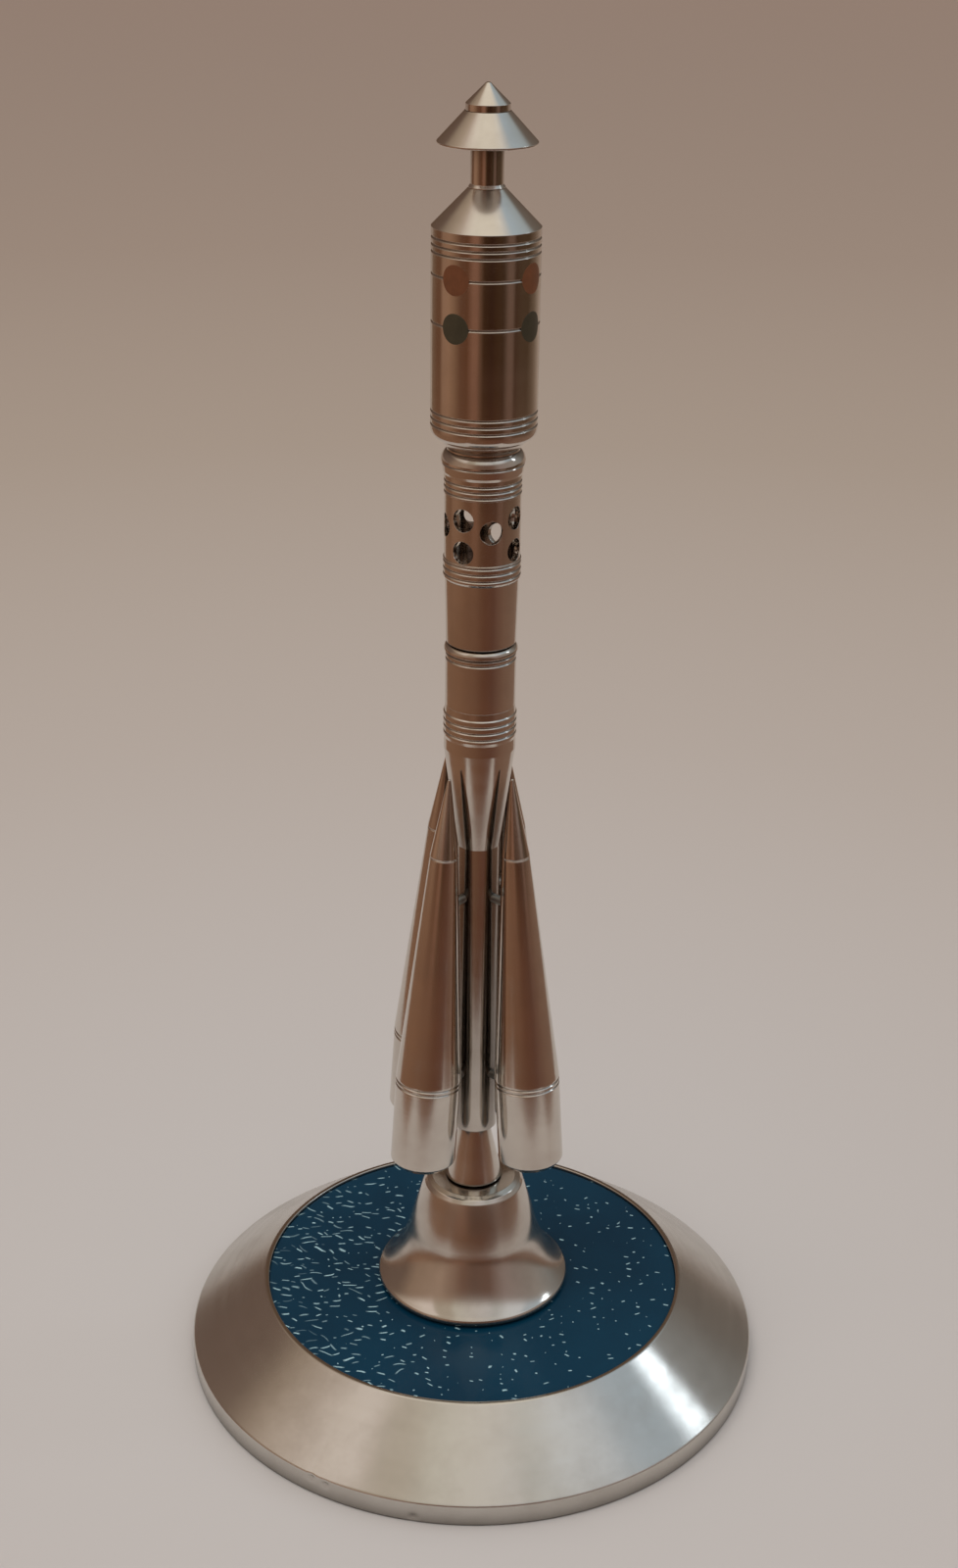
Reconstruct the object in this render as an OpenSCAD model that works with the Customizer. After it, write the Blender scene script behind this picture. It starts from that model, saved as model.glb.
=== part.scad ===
// Desk model of a four-booster rocket on a bell pedestal and a bevelled round base.
// Every piece is turned from bar or plate. Studs, dowels and one screw hold it together.
// Origin: centre of the base's underside. +Z is up. All sizes are in millimetres.

/* [Base] */
// Diameter of the base plate
base_d = 130; // [110:1:150]
// Height of the upright rim under the bevel
base_rim_h = 5; // [3:0.5:8]
// Height of the base plate, up to the lip around the blue disc
base_h = 18.2; // [15:0.2:24]
// Width of the flat lip around the blue disc
lip_w = 0.9; // [0.5:0.1:2]
// Diameter of the blue disc
disc_d = 94.2; // [80:0.2:100]
// Thickness of the blue disc
disc_t = 3; // [2:0.5:4]
// Depth of the disc's top face below the lip
disc_sink = 0.7; // [0.3:0.1:1.5]
// Diameter of the felt under the base
felt_d = 112; // [90:1:116]
// Thickness of the felt
felt_t = 1.5; // [1:0.5:2.5]
// Diameter of the hole in the felt around the screw head
felt_hole_d = 26; // [20:1:40]

/* [Pedestal] */
// Height of the pedestal above the blue disc
pedestal_h = 27.1; // [24:0.1:36]
// Diameter of the pedestal's foot
foot_d = 43.6; // [38:0.2:52]
// Radius of the foot's rounded edge
foot_edge_r = 1.2; // [0.8:0.1:2]
// Diameter of the pedestal halfway up, where the flare begins
waist_d = 28.8; // [25:0.2:31]
// Diameter of the pedestal's flat top
pedestal_top_d = 19; // [16:0.2:22]

/* [Tail cone] */
// Length of the flared tail cone
tail_h = 13.7; // [10:0.1:20]
// Diameter of the tail cone's foot
tail_foot_d = 12.6; // [10:0.1:15]
// Diameter of the tail cone's neck
tail_neck_d = 6.8; // [6.4:0.1:9]

/* [Core stage] */
// Diameter of the core at its lower end
core_low_d = 9.8; // [9:0.1:11]
// Diameter of the core where it begins to widen
core_slim_d = 9.2; // [8.6:0.1:11]
// Length of the slim stretch of the core
core_slim_l = 70; // [60:0.5:84]
// Length of the cone that widens the core
core_cone_l = 22.6; // [16:0.2:30]
// Diameter of the core's upper part
core_d = 15; // [13:0.1:16]
// Length of the core above its cone
core_top_l = 9.6; // [8:0.1:14]
// Amount that the grooved bands stand proud of the stages, on the radius
band_proud = 0.13; // [0.05:0.01:0.3]

/* [Boosters] */
// Diameter of a booster's skirt
booster_d = 14.2; // [12:0.1:15]
// Length of a booster's straight skirt
skirt_l = 18.6; // [14:0.1:24]
// Length of a booster's tapered body
booster_body_l = 53.2; // [44:0.2:62]
// Diameter of a booster at the foot of its nose
booster_nose_d = 6; // [5:0.1:8]
// Length of a booster's pointed nose
booster_nose_l = 17.4; // [12:0.2:22]
// Inward lean of a booster in degrees
booster_lean = 4.94; // [4:0.02:5.4]
// Distance from the rocket's axis to the centre of a booster's lower end
booster_foot_r = 16.85; // [16:0.05:18.5]
// Height of the boosters' lower ends below the core's lower end
booster_drop = 1.3; // [0:0.1:4]

/* [Upper stages] */
// Diameter of the interstage between core and upper stage
interstage_d = 14.6; // [13:0.1:15.4]
// Length of the interstage
interstage_l = 13.5; // [11:0.1:18]
// Diameter of the interstage's rounded shoulder
shoulder_d = 15.2; // [14:0.1:16]
// Diameter of the upper stage at its lower end
upper_low_d = 14.4; // [13:0.1:15.4]
// Diameter of the upper stage at its upper end
upper_d = 15; // [13:0.1:16]
// Length of the upper stage
upper_l = 14; // [10:0.5:20]

/* [Vented tube] */
// Outer diameter of the vented tube
tube_d = 15.4; // [14.4:0.1:17]
// Wall of the vented tube
tube_wall = 1.2; // [0.8:0.1:1.6]
// Length of the vented tube
tube_l = 17.8; // [17:0.1:26]
// Diameter of a vent hole
vent_d = 4.7; // [3.5:0.1:5]
// Height of the upper vent of a pair above the tube's lower end
vent_high = 13.6; // [13:0.1:15]
// Height of the lower vent of a pair above the tube's lower end
vent_low = 6.95; // [6.8:0.05:7.6]
// Height of a single vent above the tube's lower end
vent_mid = 11.4; // [9.5:0.1:12.5]
// Turn of the vents about the rocket's axis in degrees
vent_turn = -34; // [-45:1:45]

/* [Collar] */
// Length of the collar
collar_l = 8.8; // [8.2:0.1:12]
// Largest diameter of the collar
collar_d = 16.9; // [15.6:0.1:19]
// Diameter of the neck where collar and fairing meet
neck_d = 14.6; // [12:0.1:15.4]

/* [Fairing] */
// Diameter of the fairing
fairing_d = 21.2; // [18:0.1:25]
// Length of the fairing's undercut below its rim
fairing_foot_l = 4.5; // [3.4:0.1:6]
// Length of the fairing's straight body
fairing_body_l = 39; // [34:0.5:50]
// Length of the fairing's upper cone
fairing_cone_l = 7.1; // [5:0.1:12]
// Diameter of an enamelled dot
dot_d = 5.9; // [4:0.1:6.4]
// Depth of a dot's recess at its middle
dot_t = 1; // [0.8:0.1:1.5]
// Height of the green dots above the fairing's rim
green_dot_h = 21.1; // [16:0.1:24]
// Height of the orange dots above the green ones
dot_pitch = 9.2; // [8:0.1:10]
// Turn of the dots about the rocket's axis in degrees
dot_turn = -36.5; // [-45:0.5:45]

/* [Escape tower] */
// Diameter of the stem
stem_d = 6.4; // [5:0.1:8]
// Length of the stem between fairing and cap
stem_l = 8.1; // [5:0.1:14]
// Diameter of the cap's rim
cap_d = 19.3; // [15:0.1:24]
// Height of the cap
cap_h = 6; // [4:0.1:9]
// Diameter of the finial's band
finial_d = 8.5; // [7:0.1:10]
// Height of the finial's band
finial_band_h = 1.5; // [1:0.1:3]
// Height of the finial's cone
finial_cone_h = 3.6; // [2.5:0.1:6]

/* [Fasteners and fits] */
// Diameter of the studs between stages
stud_d = 4; // [3:0.5:4]
// Length of stud held in each stage
stud_hold = 8; // [7:0.5:10]
// Diameter of the finial's shank
shank_d = 3; // [2:0.5:3.5]
// Diameter of the base screw
screw_d = 6; // [4:0.5:8]
// Diameter of the base screw's head
screw_head_d = 10.5; // [8:0.5:14]
// Height of the base screw's head
screw_head_h = 3.6; // [2:0.2:5]
// Width across the flats of the base screw's socket
screw_socket = 4; // [3:0.5:5]
// Outer diameter of the base screw's washer
washer_d = 15; // [12:0.5:18]
// Thickness of the washer
washer_t = 1.2; // [0.8:0.1:2]
// Diameter of the dowels that hold the boosters
dowel_d = 2; // [1.5:0.1:2.5]
// Length of a dowel held in the core
dowel_in_core = 2.4; // [1.6:0.1:2.6]
// Length of a dowel held in a booster
dowel_in_booster = 3; // [2:0.1:3.2]
// Width of a decorative groove
groove_w = 0.55; // [0.3:0.05:0.7]
// Depth of a decorative groove
groove_t = 0.28; // [0.15:0.01:0.4]
// Distance between grooves that are cut side by side
groove_pitch = 1.35; // [1:0.05:1.6]
// Clearance around studs that turn in their holes, on the radius
turn_gap = 0.06; // [0.03:0.01:0.1]
// Clearance around fixed dowels, spigots and inlays, on the radius
fit_gap = 0.03; // [0.01:0.01:0.1]
// Gap between faces of stages that unscrew
face_gap = 0.05; // [0.02:0.01:0.2]

/* [Hidden] */
$fn = 96;
eps = 0.01;
// Past-the-face length of every cut
over = 1;
// Eased edge of a turned piece
ease = 0.4;
booster_angles = [45, 135, 225, 315];

// Heights of the joints, stacked from the table up
disc_top_z = base_h - disc_sink;
disc_floor_z = disc_top_z - disc_t;
pedestal_top_z = disc_top_z + pedestal_h;
tail_z = pedestal_top_z + face_gap;
core_z = tail_z + tail_h;
core_cone_z = core_z + core_slim_l;
core_wide_z = core_cone_z + core_cone_l;
interstage_z = core_wide_z + core_top_l;
upper_z = interstage_z + interstage_l + face_gap;
tube_z = upper_z + upper_l;
collar_z = tube_z + tube_l;
fairing_z = collar_z + collar_l + face_gap;
fairing_rim_z = fairing_z + fairing_foot_l;
fairing_cone_z = fairing_rim_z + fairing_body_l;
stem_z = fairing_cone_z + fairing_cone_l;
cap_z = stem_z + stem_l;
finial_z = cap_z + cap_h;

// Base
disc_ease = 0.2;
screw_pocket_d = washer_d + 3;
screw_seat_z = felt_t + screw_head_h + washer_t + 1;
screw_hold = 12;
screw_gap = 0.3;

// Boosters
booster_z = core_z - booster_drop;
booster_tip_r = 0.35;
booster_chamfer = 0.9;
skirt_groove_pitch = 1;
dowel_low_z = booster_z + 16;
dowel_high_z = booster_z + skirt_l + booster_body_l * 0.77;

// Distance between the fine grooves of the interstage and the collar
fine_pitch = 1.15;

// Core band with its three grooves
core_groove_z = core_wide_z + 3.85;
core_groove_pitch = 1.42;
core_band_top_z = core_groove_z + 2 * core_groove_pitch + 1.25;
band_chamfer = 0.25;

// Vented tube and its plugs
tube_bore_d = tube_d - 2 * tube_wall;
tube_groove_h = 1.2;
tube_band_h = tube_groove_h + 2.4 * groove_pitch;
plug_l = 3.2;
plug_top_l = 1.5;

// Fairing and dots
dot_sink = 0.05;
rim_groove_h = 0.9;
top_groove_drop = 1.8;
fairing_top_d = stem_d + 0.8;
orange_dot_h = green_dot_h + dot_pitch;
stem_flange_h = 0.7;
stem_flange_d = stem_d + 0.7;

// ---- Outline helpers: every outline is a list of [radius, height], from the bottom up ----

// V groove of the common size, cut at height z into a wall of radius r
function vee(r, z) = [[r, z - groove_w / 2], [r - groove_t, z], [r, z + groove_w / 2]];

// Rows of side-by-side V grooves, the lowest at height z
function vees(r, z, count, pitch = groove_pitch) =
    [for (i = [0 : count - 1]) each vee(r, z + i * pitch)];

// Arc of radius r about [cx, cz], from angle a to angle b
function arc(cx, cz, r, a, b, steps = 8) =
    [for (i = [0 : steps]) let (t = a + (b - a) * i / steps) [cx + r * cos(t), cz + r * sin(t)]];

// Cubic curve through p and s that leaves p towards q and reaches s from r
function curve(p, q, r, s, steps = 14) =
    [for (i = [0 : steps]) let (t = i / steps, u = 1 - t)
        p * u * u * u + q * 3 * u * u * t + r * 3 * u * t * t + s * t * t * t];

// Solid of revolution from an outline, closed at the axis
module turned(outline) {
    low = outline[0];
    high = outline[len(outline) - 1];
    rotate_extrude() polygon(concat([[0, low[1]]], outline, [[0, high[1]]]));
}

// Upright bore of diameter d from height low to height high
module bore(d, low, high) {
    translate([0, 0, low]) cylinder(d = d, h = high - low);
}

// ---- Base ----

module base_plate() {
    rim_r = base_d / 2;
    recess_r = disc_d / 2 + fit_gap;
    bevel_turn = 90 - atan2(base_h - base_rim_h, rim_r - recess_r - lip_w);
    color([0.74, 0.73, 0.71]) difference() {
        turned(concat(
            [[rim_r - ease, 0], [rim_r, ease]],
            arc(rim_r - ease, base_rim_h - ease, ease, 0, bevel_turn, 4),
            [[recess_r + lip_w, base_h]]));
        bore(2 * recess_r, disc_floor_z, base_h + over);
        bore(screw_d + 2 * screw_gap, -over, base_h + over);
        bore(screw_pocket_d, -over, screw_seat_z);
        bore(felt_d + 2 * fit_gap, -over, felt_t);
    }
}

module blue_disc() {
    color([0.07, 0.24, 0.36]) difference() {
        turned([[disc_d / 2, disc_floor_z], [disc_d / 2, disc_top_z - disc_ease],
            [disc_d / 2 - disc_ease, disc_top_z]]);
        bore(screw_d + 2 * screw_gap, disc_floor_z - over, disc_top_z + over);
    }
}

module felt_pad() {
    color([0.1, 0.22, 0.14]) difference() {
        bore(felt_d, 0, felt_t);
        bore(felt_hole_d, -over, felt_t + over);
    }
}

module base_washer() {
    color([0.6, 0.6, 0.6]) difference() {
        bore(washer_d, screw_seat_z - washer_t, screw_seat_z);
        bore(screw_d + screw_gap, screw_seat_z - washer_t - over, screw_seat_z + over);
    }
}

// Socket screw from below: it clamps the base, the disc and the pedestal
module base_screw() {
    seat_z = screw_seat_z - washer_t;
    head_z = seat_z - screw_head_h;
    socket_depth = screw_head_h * 0.6;
    color([0.5, 0.5, 0.52]) difference() {
        union() {
            turned([[screw_head_d / 2 - ease, head_z], [screw_head_d / 2, head_z + ease],
                [screw_head_d / 2, seat_z]]);
            bore(screw_d, seat_z - eps, disc_top_z + screw_hold);
        }
        translate([0, 0, head_z - over])
            cylinder(d = screw_socket / cos(30), h = over + socket_depth, $fn = 6);
    }
}

// ---- Pedestal ----

module pedestal() {
    edge_z = disc_top_z + foot_edge_r;
    edge_in_r = foot_d / 2 - foot_edge_r;
    // The flare leaves the rounded edge at this angle
    flare_turn = 52;
    flare_reach = 3.6;
    flare_foot = [edge_in_r + foot_edge_r * cos(flare_turn), edge_z + foot_edge_r * sin(flare_turn)];
    flare_handle = flare_foot + flare_reach * [-sin(flare_turn), cos(flare_turn)];
    waist_r = waist_d / 2;
    waist_z = disc_top_z + pedestal_h * 0.53;
    waist_low = [waist_r + 0.12, waist_z - 0.5];
    waist_low_handle = [waist_r + 1, waist_z - 4.3];
    // The wall closes in from the waist to a shoulder around the flat top
    top_r = pedestal_top_d / 2;
    top_z = pedestal_top_z;
    waist_high_handle = [waist_r - 1, waist_z + 4.4];
    shoulder_handle = [top_r + 2.7, top_z - 4.4];
    shoulder_end = [top_r + 1.7, top_z - 1.4];
    color([0.72, 0.70, 0.67]) difference() {
        turned(concat(
            [[edge_in_r, disc_top_z]],
            arc(edge_in_r, edge_z, foot_edge_r, -70, flare_turn - 8, 10),
            curve(flare_foot, flare_handle, waist_low_handle, waist_low),
            curve([waist_r, waist_z], waist_high_handle, shoulder_handle, shoulder_end),
            [[top_r + 1, top_z - 0.5], [top_r + 0.1, top_z - 0.1], [top_r - 0.1, top_z]]));
        bore(screw_d + 2 * fit_gap, disc_top_z - over, disc_top_z + screw_hold);
        bore(stud_d + 2 * turn_gap, top_z - stud_hold - face_gap, top_z + over);
    }
}

// ---- Rocket: tail and core ----

// Plain stud of the common size between heights low and high, with eased ends
module stud(low, high) {
    color([0.62, 0.62, 0.62]) turned([[stud_d / 2 - ease, low], [stud_d / 2, low + ease],
        [stud_d / 2, high - ease], [stud_d / 2 - ease, high]]);
}

module tail_stud() {
    stud(pedestal_top_z - stud_hold, core_z + stud_hold);
}

module tail_cone() {
    foot_r = tail_foot_d / 2;
    neck_r = tail_neck_d / 2;
    foot_h = 0.8;
    color([0.68, 0.65, 0.62]) difference() {
        turned(concat(
            [[foot_r - ease, tail_z], [foot_r, tail_z + ease]],
            curve([foot_r, tail_z + foot_h], [foot_r - 0.9, tail_z + tail_h * 0.35],
                [neck_r + 0.8, tail_z + tail_h * 0.7], [neck_r, core_z])));
        bore(stud_d + 2 * turn_gap, tail_z - over, core_z + over);
    }
}

// Places children at a booster's angle: they are drawn on the -Y side
module at_booster(i) {
    rotate([0, 0, booster_angles[i]]) children();
}

// Dowel across the gap between core and booster at height z, on the -Y side
module dowel(z, gap = 0) {
    far_r = booster_wall_r(z) + dowel_in_booster + gap;
    near_r = core_wall_r(z) - dowel_in_core - gap;
    translate([0, -far_r, z]) rotate([-90, 0, 0])
        cylinder(d = dowel_d + 2 * gap, h = far_r - near_r, $fn = 32);
}

// Radius of the slim core at height z
function core_wall_r(z) =
    (core_low_d + (core_slim_d - core_low_d) * (z - core_z) / core_slim_l) / 2;

// Distance from the rocket's axis to the nearer wall of a booster at height z
function booster_wall_r(z) =
    let (up = (z - booster_z) / cos(booster_lean),
        taper = max(0, up - skirt_l) / booster_body_l,
        r = (booster_d + (booster_nose_d - booster_d) * taper) / 2)
    booster_foot_r - (z - booster_z) * tan(booster_lean) - r / cos(booster_lean);

module core_stage() {
    low_r = core_low_d / 2;
    band_r = core_d / 2 + band_proud;
    color([0.66, 0.60, 0.56]) difference() {
        turned(concat(
            [[low_r - ease, core_z], [low_r, core_z + ease], [core_slim_d / 2, core_cone_z],
                [core_d / 2, core_wide_z], [core_d / 2, core_groove_z - core_groove_pitch],
                [band_r, core_groove_z - core_groove_pitch / 2]],
            vees(band_r, core_groove_z, 3, core_groove_pitch),
            [[band_r, core_band_top_z], [band_r - band_chamfer, core_band_top_z + band_chamfer],
                [interstage_d / 2, interstage_z]]));
        bore(stud_d + 2 * turn_gap, core_z - over, core_z + stud_hold + face_gap);
        bore(stud_d + 2 * turn_gap, interstage_z - stud_hold - face_gap, interstage_z + over);
        for (i = [0 : 3]) at_booster(i) {
            dowel(dowel_low_z, fit_gap);
            dowel(dowel_high_z, fit_gap);
        }
    }
}

// ---- Rocket: boosters ----

// Booster i stands on the -Y side, leans towards the core and is turned to its angle
module booster(i) {
    r = booster_d / 2;
    nose_r = booster_nose_d / 2;
    foot_edge_r = 0.5;
    nose_base = skirt_l + booster_body_l;
    tip = nose_base + booster_nose_l;
    color([0.70, 0.67, 0.63]) difference() {
        at_booster(i) translate([0, -booster_foot_r, booster_z]) rotate([-booster_lean, 0, 0])
            turned(concat(
                [[r - booster_chamfer, -booster_chamfer]],
                arc(r - foot_edge_r, foot_edge_r * 0.7, foot_edge_r, -45, 0, 4),
                vees(r, skirt_l, 2, skirt_groove_pitch),
                [[r, skirt_l + 1.6 * skirt_groove_pitch], [nose_r, nose_base - groove_w / 2],
                    [nose_r - groove_t / 2, nose_base], [nose_r, nose_base + groove_w / 2]],
                arc(0, tip - booster_tip_r, booster_tip_r, 10, 80, 4)));
        at_booster(i) {
            dowel(dowel_low_z, fit_gap);
            dowel(dowel_high_z, fit_gap);
        }
    }
}

module dowels(z) {
    color([0.55, 0.55, 0.55]) for (i = [0 : 3]) at_booster(i) dowel(z);
}

// ---- Rocket: upper stages ----

module interstage() {
    r = interstage_d / 2;
    shoulder_r = 1.3;
    middle_r = shoulder_d / 2 - shoulder_r;
    top_z = interstage_z + interstage_l;
    color([0.66, 0.60, 0.56]) difference() {
        turned(concat(
            [[r, interstage_z]],
            vees(r, top_z - 3.1, 2, fine_pitch),
            [[r, top_z - shoulder_r - 0.3]],
            arc(middle_r, top_z - shoulder_r, shoulder_r, -10, 84, 10),
            [[middle_r, top_z]]));
        bore(stud_d + 2 * turn_gap, interstage_z - over, top_z + over);
    }
}

module stage_stud() {
    stud(interstage_z - stud_hold, upper_z + stud_hold);
}

module upper_stage() {
    low_r = upper_low_d / 2;
    color([0.66, 0.60, 0.56]) difference() {
        union() {
            turned([[low_r - ease, upper_z], [low_r, upper_z + ease], [upper_d / 2, tube_z]]);
            bore(tube_bore_d - 2 * fit_gap, tube_z - eps, tube_z + plug_l);
        }
        bore(stud_d + 2 * turn_gap, upper_z - over, upper_z + stud_hold + face_gap);
    }
}

// Tube with four pairs of vents and four single vents between them
module vented_tube() {
    r = tube_d / 2;
    band_r = r + band_proud * 1.5;
    color([0.66, 0.60, 0.56]) difference() {
        turned(concat(
            [[upper_d / 2, tube_z], [band_r, tube_z + tube_groove_h - groove_pitch / 2]],
            vees(band_r, tube_z + tube_groove_h, 3),
            [[band_r, tube_z + tube_band_h], [r, tube_z + tube_band_h + band_chamfer],
                [r, collar_z]]));
        bore(tube_bore_d, tube_z - over, collar_z + over);
        for (i = [0 : 3]) rotate([0, 0, vent_turn + 90 * i]) {
            vent(vent_high);
            vent(vent_low);
            rotate([0, 0, 45]) vent(vent_mid);
        }
    }
}

// Vent hole through the tube's wall on the -Y side, at height h above the tube's lower end
module vent(h) {
    translate([0, -tube_d / 2 - over, tube_z + h]) rotate([-90, 0, 0])
        cylinder(d = vent_d, h = over + tube_wall + tube_d / 4);
}

module collar() {
    r = tube_d / 2 + band_proud;
    rim_r = collar_d / 2;
    top_z = collar_z + collar_l;
    rim_z = top_z - 2.3;
    rim_handle = [rim_r, rim_z + 0.9];
    neck_handle = [neck_d / 2 + 0.7, top_z - 0.5];
    color([0.68, 0.63, 0.58]) difference() {
        union() {
            turned(concat(
                [[r, collar_z]],
                vees(r, collar_z + fine_pitch / 2, 3, fine_pitch),
                [[r, rim_z - 2.5], [rim_r - ease, rim_z - 1.9], [rim_r - ease / 2, rim_z - 0.5],
                    [rim_r - ease, rim_z - 0.2]],
                curve([rim_r, rim_z], rim_handle, neck_handle, [neck_d / 2, top_z], 10)));
            bore(tube_bore_d - 2 * fit_gap, collar_z - plug_top_l, collar_z + eps);
        }
        bore(stud_d + 2 * turn_gap, top_z - stud_hold - face_gap, top_z + over);
    }
}

module nose_stud() {
    stud(collar_z + collar_l - stud_hold, fairing_z + stud_hold);
}

// ---- Rocket: fairing and dots ----

// Round plug of diameter d on the -Y side, h above the fairing's rim, as deep as a dot's recess
module dot_plug(h, d) {
    translate([0, -fairing_d / 2 - over, fairing_rim_z + h]) rotate([-90, 0, 0])
        cylinder(d = d, h = over + dot_t, $fn = 48);
}

// Enamelled dot: its face follows the fairing, a little below the wall
module dot(h) {
    intersection() {
        dot_plug(h, dot_d);
        bore(fairing_d - 2 * dot_sink, fairing_rim_z + h - dot_d, fairing_rim_z + h + dot_d);
    }
}

module fairing() {
    r = fairing_d / 2;
    neck_r = neck_d / 2;
    step_r = (r + neck_r) / 2 - 0.15;
    step_z = fairing_z + fairing_foot_l / 2;
    // The rim rolls in from the wall to the step
    step_handle = [r - 0.5, step_z + 0.35];
    rim_handle = [r, fairing_rim_z - 1];
    color([0.70, 0.62, 0.56]) difference() {
        turned(concat(
            [[neck_r, fairing_z], [neck_r, fairing_z + ease], [step_r - ease / 2, step_z - ease / 2],
                [step_r - ease / 2, step_z]],
            curve([step_r, step_z], step_handle, rim_handle, [r, fairing_rim_z + 0.3], 10),
            vees(r, fairing_rim_z + rim_groove_h, 3),
            vee(r, fairing_rim_z + green_dot_h),
            vee(r, fairing_rim_z + orange_dot_h),
            vees(r, fairing_cone_z - top_groove_drop - 2 * groove_pitch, 3),
            [[r, fairing_cone_z], [fairing_top_d / 2, stem_z]]));
        bore(stud_d + 2 * turn_gap, fairing_z - over, fairing_z + stud_hold + face_gap);
        bore(shank_d + 2 * fit_gap, stem_z - stud_hold - face_gap, stem_z + over);
        for (i = [0 : 3]) rotate([0, 0, dot_turn + 90 * i]) {
            dot_plug(green_dot_h, dot_d + 2 * fit_gap);
            dot_plug(orange_dot_h, dot_d + 2 * fit_gap);
        }
    }
}

module orange_dot(i) {
    color([0.54, 0.29, 0.16]) rotate([0, 0, dot_turn + 90 * i]) dot(orange_dot_h);
}

module green_dot(i) {
    color([0.22, 0.21, 0.15]) rotate([0, 0, dot_turn + 90 * i]) dot(green_dot_h);
}

// ---- Escape tower ----

module stem() {
    r = stem_d / 2;
    color([0.50, 0.43, 0.37]) difference() {
        turned(concat(
            [[stem_flange_d / 2, stem_z], [stem_flange_d / 2, stem_z + stem_flange_h / 4],
                [r, stem_z + stem_flange_h], [r, cap_z]]));
        bore(shank_d + 2 * fit_gap, stem_z - over, cap_z + over);
    }
}

module cap() {
    rim_r = cap_d / 2;
    edge_r = 0.3;
    seat_r = finial_d / 2 + 0.15;
    color([0.80, 0.78, 0.75]) difference() {
        turned(concat(
            [[rim_r - 3 * edge_r, cap_z]],
            arc(rim_r - edge_r, cap_z + edge_r, edge_r, -60, 50, 5),
            [[seat_r, finial_z]]));
        bore(shank_d + 2 * fit_gap, cap_z - over, finial_z + over);
    }
}

// Cone-headed screw: its shank passes the cap and the stem into the fairing
module finial() {
    r = finial_d / 2;
    tip_r = 0.9;
    band_z = finial_z + finial_band_h;
    tip_z = band_z + finial_cone_h;
    color([0.76, 0.74, 0.70]) union() {
        turned(concat(
            [[r, finial_z], [r, band_z - ease / 2], [r - ease / 2, band_z]],
            arc(0, tip_z - tip_r, tip_r, 35, 85, 5)));
        bore(shank_d, stem_z - stud_hold, finial_z + eps);
    }
}

base_plate();
blue_disc();
felt_pad();
base_screw();
base_washer();
pedestal();
tail_stud();
tail_cone();
core_stage();
booster(0);  // booster_front_right
booster(1);  // booster_rear_right
booster(2);  // booster_rear_left
booster(3);  // booster_front_left
dowels(dowel_high_z);  // upper_dowels
dowels(dowel_low_z);  // lower_dowels
interstage();
stage_stud();
upper_stage();
vented_tube();
collar();
nose_stud();
fairing();
orange_dot(0);  // orange_dot_1
orange_dot(1);  // orange_dot_2
orange_dot(2);  // orange_dot_3
orange_dot(3);  // orange_dot_4
green_dot(0);  // green_dot_1
green_dot(1);  // green_dot_2
green_dot(2);  // green_dot_3
green_dot(3);  // green_dot_4
stem();
cap();
finial();
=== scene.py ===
"""Looks of the desk rocket: a turned and polished aluminium model on a satin base with a blue
inlay. The file goes up the object in the order it is put together: camera, table and light,
base, pedestal, tail, core, boosters, upper stages, vented tube, collar, fairing, tower."""

import math

import bmesh
import bpy
import numpy as np
from mathutils import Matrix, Vector


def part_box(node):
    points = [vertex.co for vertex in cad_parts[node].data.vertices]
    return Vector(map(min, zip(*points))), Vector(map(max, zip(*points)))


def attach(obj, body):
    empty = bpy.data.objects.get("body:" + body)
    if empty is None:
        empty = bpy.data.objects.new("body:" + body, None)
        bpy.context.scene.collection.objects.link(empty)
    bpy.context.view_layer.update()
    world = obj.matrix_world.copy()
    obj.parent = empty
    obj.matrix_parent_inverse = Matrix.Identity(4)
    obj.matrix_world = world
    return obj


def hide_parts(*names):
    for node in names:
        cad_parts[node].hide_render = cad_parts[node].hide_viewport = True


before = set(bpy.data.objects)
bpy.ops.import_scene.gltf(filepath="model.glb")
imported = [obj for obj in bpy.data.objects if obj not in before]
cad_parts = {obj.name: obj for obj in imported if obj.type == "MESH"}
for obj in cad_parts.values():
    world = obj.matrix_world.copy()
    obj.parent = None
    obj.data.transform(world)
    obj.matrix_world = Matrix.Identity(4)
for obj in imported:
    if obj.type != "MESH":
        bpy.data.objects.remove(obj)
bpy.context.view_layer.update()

# ---- Camera ----------------------------------------------------------------------------------
# A phone held a little above the rocket's nose, 56 cm from its axis, with no shift and no blur.

stand_off = 0.4417
eye_height = 0.3424
eye_azimuth = math.radians(-3)
look_down = math.radians(24.417)
camera_roll = math.radians(0.774)

camera_data = bpy.data.cameras.new("camera")
camera_data.lens = 52.91
camera_data.sensor_width = 36
camera = bpy.data.objects.new("camera", camera_data)
camera.matrix_world = (
    Matrix.Rotation(eye_azimuth, 4, "Z")
    @ Matrix.Translation((0, -stand_off, eye_height))
    @ Matrix.Rotation(math.radians(90) - look_down, 4, "X")
    @ Matrix.Rotation(camera_roll, 4, "Z")
)
bpy.context.scene.collection.objects.link(camera)
bpy.context.scene.camera = camera
bpy.context.scene.view_settings.view_transform = "Standard"


# ---- Table and light -------------------------------------------------------------------------
# A pale paper-covered table under the soft light of a white room, with a painted falloff of that light: its
# colour darkens with distance.
# Polished metal shows what it mirrors: the paper near it, the brown room in front of it beyond
# the paper's edge, and a pale ceiling. Cards and the room that only mirrors see stand for these.

def linear(hex_colour):
    """sRGB hex colour as linear red, green, blue and alpha."""
    parts = np.array([int(hex_colour[i:i + 2], 16) for i in (1, 3, 5)]) / 255
    flat = np.where(parts <= 0.04045, parts / 12.92, ((parts + 0.055) / 1.055) ** 2.4)
    return (*flat.tolist(), 1.0)


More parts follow.
